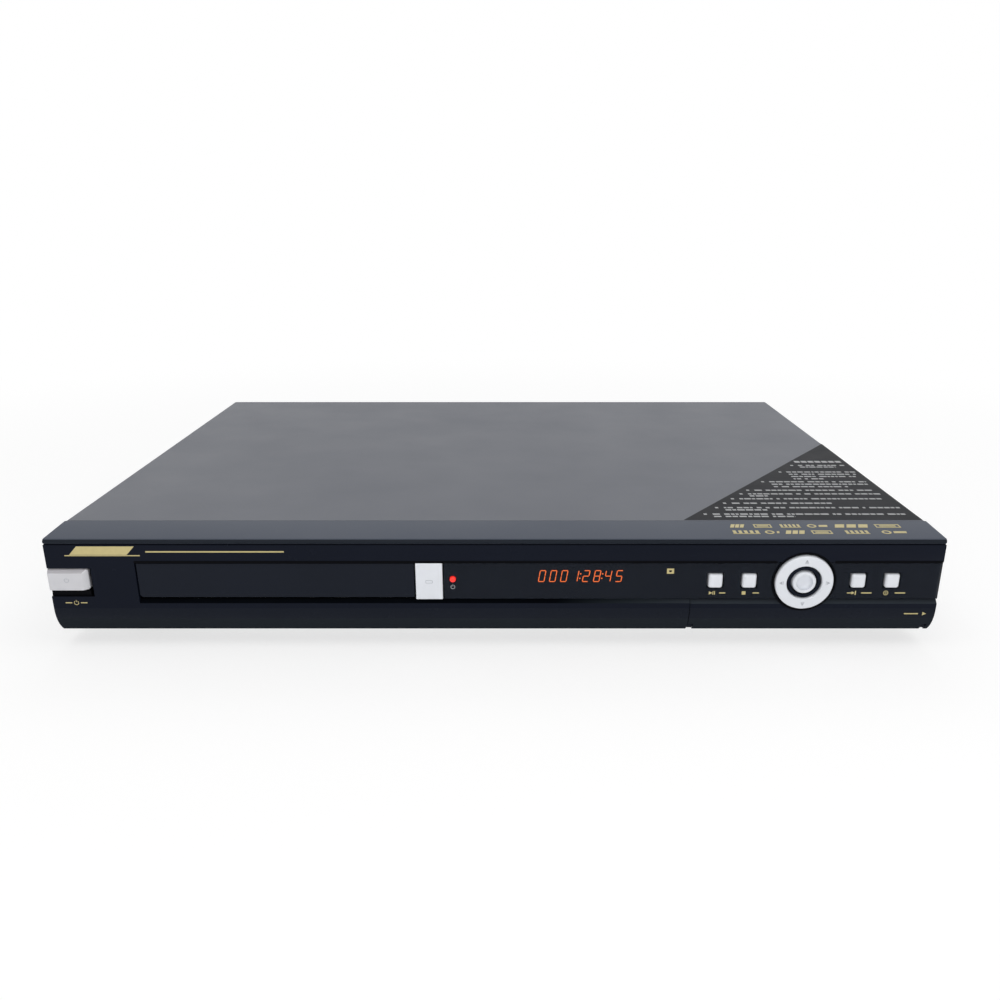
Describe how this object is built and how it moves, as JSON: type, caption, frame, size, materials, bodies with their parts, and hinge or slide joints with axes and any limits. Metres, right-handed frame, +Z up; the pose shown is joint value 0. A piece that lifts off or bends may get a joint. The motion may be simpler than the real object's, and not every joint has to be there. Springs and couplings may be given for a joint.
{
  "type": "disc recorder",
  "caption": "Flat disc and hard-disk recorder: steel cover, black front with sliding disc tray, smoked display window, rocking dial, press buttons and a drop-down socket flap.",
  "frame": {"origin": "centre of the bounding box at its base, on the table under the feet", "axes": "+X to the right along the front, +Y to the rear, +Z up"},
  "size_m": [0.43, 0.357, 0.0595],
  "materials": {
    "grey_paint": "satin grey paint",
    "trim_grey": "satin painted plastic",
    "black_plastic": "polished black moulding",
    "smoked_plastic": "smoked glossy window",
    "silver_plastic": "silver paint",
    "grey_plastic": "moulded grey",
    "steel": "zinc-plated sheet or turned steel",
    "aluminium": "cast",
    "rubber": "matt",
    "green_board": "lacquered board",
    "white_plastic": "moulded white",
    "red_plastic": "clear red lens",
    "dark_plastic": "moulded dark",
    "copper": "enamelled copper winding"
  },
  "bodies": {
    "case": {"base_pan": "steel", "button_window": "smoked_plastic", "clamp_bridge": "steel", "disk_board": "green_board", "disk_bracket": "steel", "disk_case": "aluminium", "disk_cover": "steel", "display_module": "dark_plastic", "display_window": "smoked_plastic", "drive_cable": "grey_plastic", "drive_chassis": "dark_plastic", "fan_frame": "dark_plastic", "filter_capacitor": "dark_plastic", "foot_front_left": "rubber", "foot_front_right": "rubber", "foot_rear_left": "rubber", "foot_rear_right": "rubber", "front_board": "green_board", "front_panel": "black_plastic", "front_socket_block": "dark_plastic", "loading_belt": "rubber", "loading_motor": "steel", "main_board": "green_board", "mains_inlet": "dark_plastic", "power_board": "green_board", "rear_panel": "steel", "rear_socket_block": "dark_plastic", "serial_port": "steel", "standby_board": "green_board", "standby_light": "red_plastic", "top_cover": "grey_paint", "top_trim": "trim_grey", "transformer": "copper", "tuner_can": "steel"},
    "tray": {"disc_tray": "dark_plastic", "tray_door": "black_plastic"},
    "traverse": {"traverse_base": "dark_plastic", "spindle_motor": "steel", "guide_rod": "steel", "sled_motor": "steel"},
    "turntable": {"turntable": "dark_plastic"},
    "sled": {"pickup_sled": "grey_plastic"},
    "lead_screw": {"lead_screw": "steel"},
    "clamp": {"clamp_puck": "white_plastic"},
    "cam": {"cam_slider": "white_plastic"},
    "loading_gear": {"loading_gear": "white_plastic"},
    "motor_pulley": {"motor_pulley": "white_plastic"},
    "standby_button": {"standby_button": "silver_plastic"},
    "eject_button": {"eject_button": "silver_plastic"},
    "function_1": {"function_button_1": "silver_plastic"},
    "function_2": {"function_button_2": "silver_plastic"},
    "function_3": {"function_button_3": "silver_plastic"},
    "function_4": {"function_button_4": "silver_plastic"},
    "dial_gimbal": {"dial_gimbal": "grey_plastic"},
    "dial_ring": {"dial_ring": "silver_plastic"},
    "dial_button": {"dial_button": "silver_plastic"},
    "flap": {"flap_door": "black_plastic"},
    "platter": {"disk_platter": "steel"},
    "head_arm": {"head_arm": "aluminium"},
    "fan_rotor": {"fan_rotor": "dark_plastic"}
  },
  "joints": [
    {"name": "tray_slide", "type": "slide", "parent": "case", "child": "tray", "axis": [0, -1, 0], "range_m": [0, 0.138]},
    {"name": "loading_gear_spin", "type": "hinge", "parent": "case", "child": "loading_gear", "pos_m": [-0.1505, -0.1377, 0.021], "axis": [0, 0, 1], "range_deg": [0, 880]},
    {"name": "motor_pulley_spin", "type": "hinge", "parent": "case", "child": "motor_pulley", "pos_m": [-0.1505, -0.0937, 0.021], "axis": [0, 0, 1], "range_deg": [0, 3641]},
    {"name": "cam_slide", "type": "slide", "parent": "case", "child": "cam", "axis": [1, 0, 0], "range_m": [0, 0.016]},
    {"name": "traverse_tilt", "type": "hinge", "parent": "case", "child": "traverse", "pos_m": [-0.1056, -0.0257, 0.027], "axis": [1, 0, 0], "range_deg": [0, 5]},
    {"name": "turntable_spin", "type": "hinge", "parent": "traverse", "child": "turntable", "pos_m": [-0.1056, -0.1077, 0.03], "axis": [0, 0, 1], "continuous": true},
    {"name": "clamp_spin", "type": "hinge", "parent": "case", "child": "clamp", "pos_m": [-0.1056, -0.1077, 0.0411], "axis": [0, 0, 1], "continuous": true},
    {"name": "sled_slide", "type": "slide", "parent": "traverse", "child": "sled", "axis": [0, 1, 0], "range_m": [0, 0.034]},
    {"name": "lead_screw_spin", "type": "hinge", "parent": "traverse", "child": "lead_screw", "pos_m": [-0.0901, -0.0947, 0.027], "axis": [0, 1, 0], "range_deg": [0, 2451]},
    {"name": "standby_press", "type": "slide", "parent": "case", "child": "standby_button", "axis": [0, 0.9961, 0.0884], "range_m": [0, 0.001], "stiffness_N_per_m": 800},
    {"name": "eject_press", "type": "slide", "parent": "case", "child": "eject_button", "axis": [0, 0.9961, 0.0884], "range_m": [0, 0.001], "stiffness_N_per_m": 800},
    {"name": "function_1_press", "type": "slide", "parent": "case", "child": "function_1", "axis": [0, 0.9961, 0.0884], "range_m": [0, 0.001], "stiffness_N_per_m": 800},
    {"name": "function_2_press", "type": "slide", "parent": "case", "child": "function_2", "axis": [0, 0.9961, 0.0884], "range_m": [0, 0.001], "stiffness_N_per_m": 800},
    {"name": "function_3_press", "type": "slide", "parent": "case", "child": "function_3", "axis": [0, 0.9961, 0.0884], "range_m": [0, 0.001], "stiffness_N_per_m": 800},
    {"name": "function_4_press", "type": "slide", "parent": "case", "child": "function_4", "axis": [0, 0.9961, 0.0884], "range_m": [0, 0.001], "stiffness_N_per_m": 800},
    {"name": "dial_button_press", "type": "slide", "parent": "case", "child": "dial_button", "axis": [0, 0.9961, 0.0884], "range_m": [0, 0.001], "stiffness_N_per_m": 800},
    {"name": "dial_pitch", "type": "hinge", "parent": "case", "child": "dial_gimbal", "pos_m": [0.1491, -0.17246, 0.0365], "axis": [1, 0, 0], "range_deg": [-2.5, 2.5], "stiffness_Nm_per_rad": 0.4},
    {"name": "dial_yaw", "type": "hinge", "parent": "dial_gimbal", "child": "dial_ring", "pos_m": [0.1491, -0.17246, 0.0365], "axis": [0, -0.0884, 0.9961], "range_deg": [-2.5, 2.5], "stiffness_Nm_per_rad": 0.4},
    {"name": "flap_hinge", "type": "hinge", "parent": "case", "child": "flap", "pos_m": [0.1491, -0.16769, 0.011], "axis": [1, 0, 0], "range_deg": [0, 90]},
    {"name": "platter_spin", "type": "hinge", "parent": "case", "child": "platter", "pos_m": [0.112, -0.0649, 0.0289], "axis": [0, 0, 1], "continuous": true},
    {"name": "head_swing", "type": "hinge", "parent": "case", "child": "head_arm", "pos_m": [0.136, -0.0099, 0.0289], "axis": [0, 0, 1], "range_deg": [0, 32.1]},
    {"name": "fan_spin", "type": "hinge", "parent": "case", "child": "fan_rotor", "pos_m": [-0.11, 0.16, 0.034], "axis": [0, 1, 0], "continuous": true}
  ],
  "couplings": [
    {"joint": "loading_gear_spin", "follows": "tray_slide", "rad_per_m": 111.11},
    {"joint": "motor_pulley_spin", "follows": "tray_slide", "rad_per_m": 460.32},
    {"joint": "traverse_tilt", "follows": "cam_slide", "rad_per_m": 5.4537},
    {"joint": "clamp_spin", "follows": "turntable_spin", "ratio": 1},
    {"joint": "lead_screw_spin", "follows": "sled_slide", "rad_per_m": 1256.6}
  ]
}
